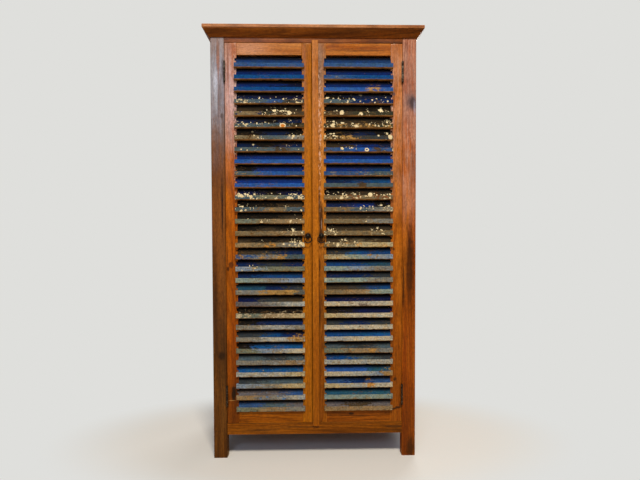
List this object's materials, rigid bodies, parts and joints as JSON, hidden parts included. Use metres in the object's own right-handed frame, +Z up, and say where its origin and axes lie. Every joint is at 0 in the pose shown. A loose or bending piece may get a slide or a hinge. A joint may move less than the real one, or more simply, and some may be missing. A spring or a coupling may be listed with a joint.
{
  "type": "louvred door cabinet",
  "caption": "Tall free standing wooden cupboard with two inset doors of fixed louvre slats, a mitred cornice, post feet, inner shelves and ring pulls.",
  "frame": {"origin": "on the floor, in the middle of the whole width and depth, cornice included", "axes": "+Z up, the doors face -Y, +X to the right seen from the front"},
  "size_m": [0.96, 0.48, 1.9],
  "materials": {
    "teak": "varnished, orange brown",
    "dark_teak": "varnished, dark brown",
    "red_teak": "varnished, reddish brown",
    "inner_board": "plain, sanded",
    "painted_slats": "old blue paint, chipped and weathered",
    "old_iron": "dark, worn",
    "hinge_steel": "dull, dark"
  },
  "bodies": {
    "carcass": {"left_front_post": "dark_teak", "right_front_post": "red_teak", "left_back_post": "dark_teak", "right_back_post": "dark_teak", "front_header_rail": "teak", "front_bottom_rail": "teak", "left_side_lower_rail": "dark_teak", "left_side_upper_rail": "dark_teak", "right_side_lower_rail": "dark_teak", "right_side_upper_rail": "dark_teak", "left_side_panel": "dark_teak", "right_side_panel": "dark_teak", "back_lower_rail": "dark_teak", "back_upper_rail": "dark_teak", "back_muntin": "dark_teak", "left_back_panel": "inner_board", "right_back_panel": "inner_board", "bottom_board": "inner_board", "lower_shelf": "inner_board", "middle_shelf": "inner_board", "upper_shelf": "inner_board", "left_lower_cleat": "inner_board", "right_lower_cleat": "inner_board", "left_middle_cleat": "inner_board", "right_middle_cleat": "inner_board", "left_upper_cleat": "inner_board", "right_upper_cleat": "inner_board", "door_stop_batten": "teak", "top_board": "red_teak", "front_cornice_moulding": "teak", "left_cornice_moulding": "teak", "right_cornice_moulding": "teak", "left_door_upper_hinge_post_leaf": "hinge_steel", "left_door_upper_hinge_pin": "hinge_steel", "left_door_lower_hinge_post_leaf": "hinge_steel", "left_door_lower_hinge_pin": "hinge_steel", "right_door_upper_hinge_post_leaf": "hinge_steel", "right_door_upper_hinge_pin": "hinge_steel", "right_door_lower_hinge_post_leaf": "hinge_steel", "right_door_lower_hinge_pin": "hinge_steel"},
    "left_door": {"left_door_louvres": "painted_slats", "left_door_meeting_stile": "teak", "left_door_top_rail": "teak", "left_door_bottom_rail": "teak", "left_door_upper_hinge_door_leaf": "hinge_steel", "left_door_lower_hinge_door_leaf": "hinge_steel", "left_door_pull_rose": "old_iron"},
    "right_door": {"right_door_louvres": "painted_slats", "right_door_meeting_stile": "teak", "right_door_top_rail": "teak", "right_door_bottom_rail": "teak", "right_door_meeting_strip": "teak", "right_door_upper_hinge_door_leaf": "hinge_steel", "right_door_lower_hinge_door_leaf": "hinge_steel", "right_door_pull_rose": "old_iron"},
    "left_ring": {"left_door_pull_ring": "old_iron"},
    "right_ring": {"right_door_pull_ring": "old_iron"}
  },
  "joints": [
    {"name": "left_door_swing", "type": "hinge", "parent": "carcass", "child": "left_door", "pos_m": [-0.3892, -0.2151, 0.993], "axis": [0, 0, -1], "range_deg": [0, 165]},
    {"name": "right_door_swing", "type": "hinge", "parent": "carcass", "child": "right_door", "pos_m": [0.3892, -0.2151, 0.993], "axis": [0, 0, 1], "range_deg": [0, 165]},
    {"name": "left_ring_swing", "type": "hinge", "parent": "left_door", "child": "left_ring", "pos_m": [-0.0285, -0.2265, 0.99], "axis": [-1, 0, 0], "range_deg": [0, 110]},
    {"name": "right_ring_swing", "type": "hinge", "parent": "right_door", "child": "right_ring", "pos_m": [0.0307, -0.2265, 0.99], "axis": [-1, 0, 0], "range_deg": [0, 110]}
  ]
}
